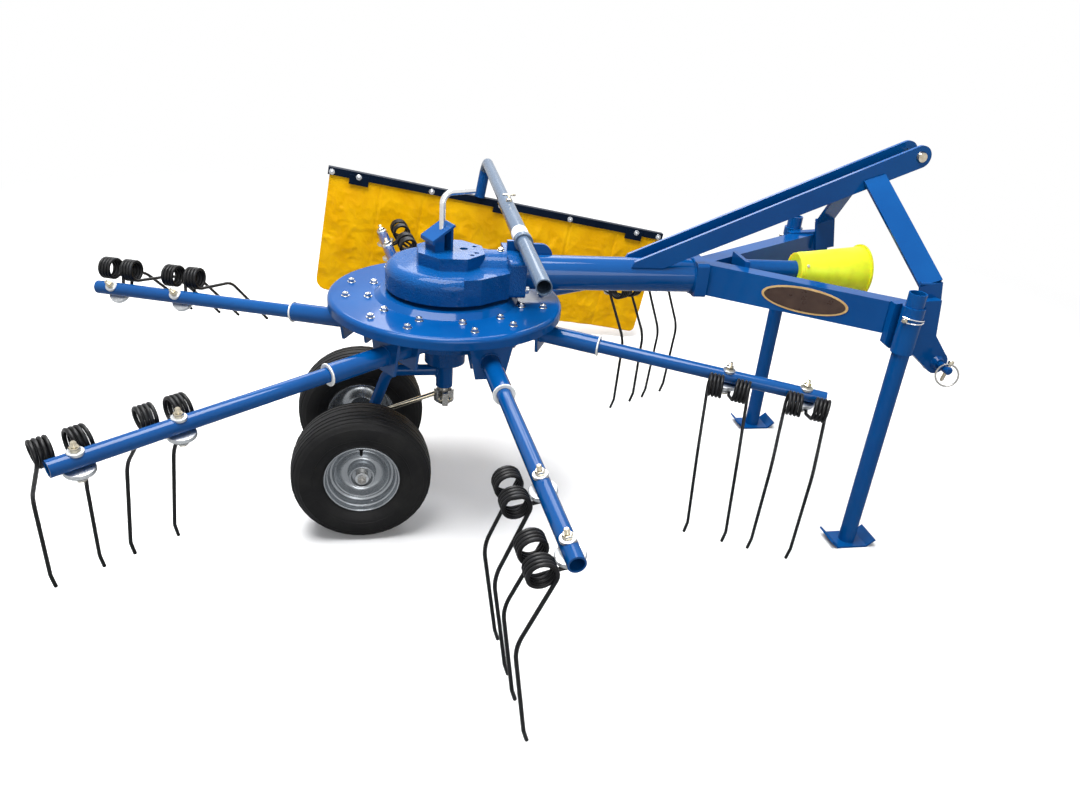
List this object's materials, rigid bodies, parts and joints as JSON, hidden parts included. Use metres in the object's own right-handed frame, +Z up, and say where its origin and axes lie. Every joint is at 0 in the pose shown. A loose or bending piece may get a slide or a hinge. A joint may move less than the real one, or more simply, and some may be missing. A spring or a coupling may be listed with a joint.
{
  "type": "rotary hay rake",
  "caption": "Three-point mounted single-rotor hay rake with sprung tine arms, side windrow curtain, two small gauge wheels and two stand legs.",
  "frame": {"origin": "on the ground, under the middle of the machine's overall length and width", "axes": "+X ahead towards the tractor, +Y to the left towards the curtain, +Z up"},
  "size_m": [2.3583, 2.2902, 1.102],
  "materials": {
    "blue_paint": "glossy blue paint",
    "blue_casting": "blue paint over rough cast iron",
    "navy_paint": "dark blue paint",
    "grey_blue_paint": "worn grey-blue paint",
    "tine_black": "black spring steel",
    "zinc": "galvanised",
    "yellow_zinc": "yellow passivated zinc",
    "bright_steel": "machined",
    "chrome": "polished",
    "nylon": "white nylon",
    "guard_plastic": "lemon yellow",
    "tyre": "black",
    "rim_paint": "silver-grey paint",
    "curtain_cloth": "orange-yellow coated cloth"
  },
  "bodies": {
    "frame": {"gearbox": "blue_casting", "main_tube": "blue_paint", "crank_hood": "blue_paint", "crank": "chrome", "apex_block": "blue_paint", "hitch_member_right": "blue_paint", "hitch_member_left": "blue_paint", "hitch_plate_right": "blue_paint", "hitch_plate_left": "blue_paint", "mast_plate_right": "blue_paint", "mast_plate_left": "blue_paint", "brace_right": "blue_paint", "brace_left": "blue_paint", "leg_sleeve_right": "blue_paint", "leg_sleeve_left": "blue_paint", "top_pin": "yellow_zinc", "drive_input": "blue_paint", "drive_guard": "guard_plastic", "curtain_sleeve": "blue_paint"},
    "rotor": {"rotor_disc": "blue_paint", "rotor_bell": "blue_casting", "arm_housings": "blue_paint", "arm_rings": "nylon", "tine_clamps": "zinc", "tine_arm_front_right": "blue_paint", "tine_arm_right": "blue_paint", "tine_arm_rear_right": "blue_paint", "tine_arm_rear_left": "blue_paint", "tine_arm_left": "blue_paint", "tine_arm_front_left": "blue_paint", "tines_front_right": "tine_black", "tines_right": "tine_black", "tines_rear_right": "tine_black", "tines_rear_left": "tine_black", "tines_left": "tine_black", "tines_front_left": "tine_black"},
    "carriage": {"wheel_carriage": "blue_paint", "column_foot": "zinc", "carriage_stay": "yellow_zinc"},
    "wheel_right": {"tyre_right": "tyre", "rim_right": "rim_paint"},
    "wheel_left": {"tyre_left": "tyre", "rim_left": "rim_paint"},
    "leg_right": {"leg_right": "blue_paint"},
    "leg_left": {"leg_left": "blue_paint"},
    "curtain": {"curtain_arm": "grey_blue_paint", "curtain_bar": "navy_paint", "curtain_cloth": "curtain_cloth"}
  },
  "joints": [
    {"name": "rotor_spin", "type": "hinge", "parent": "frame", "child": "rotor", "pos_m": [-0.1855, -0.075, 0.55], "axis": [0, 0, 1], "continuous": true},
    {"name": "carriage_slide", "type": "slide", "parent": "frame", "child": "carriage", "axis": [0, 0, 1], "range_m": [-0.05, 0]},
    {"name": "wheel_right_spin", "type": "hinge", "parent": "carriage", "child": "wheel_right", "pos_m": [-0.4215, -0.266, 0.1875], "axis": [0, 1, 0], "continuous": true},
    {"name": "wheel_left_spin", "type": "hinge", "parent": "carriage", "child": "wheel_left", "pos_m": [-0.4215, 0.116, 0.1875], "axis": [0, 1, 0], "continuous": true},
    {"name": "leg_right_slide", "type": "slide", "parent": "frame", "child": "leg_right", "axis": [0, 0, 1], "range_m": [0, 0.45]},
    {"name": "leg_left_slide", "type": "slide", "parent": "frame", "child": "leg_left", "axis": [0, 0, 1], "range_m": [0, 0.45]},
    {"name": "curtain_slide", "type": "slide", "parent": "frame", "child": "curtain", "axis": [0.0429, 0.9987, -0.0279], "range_m": [0, 0.28]}
  ]
}
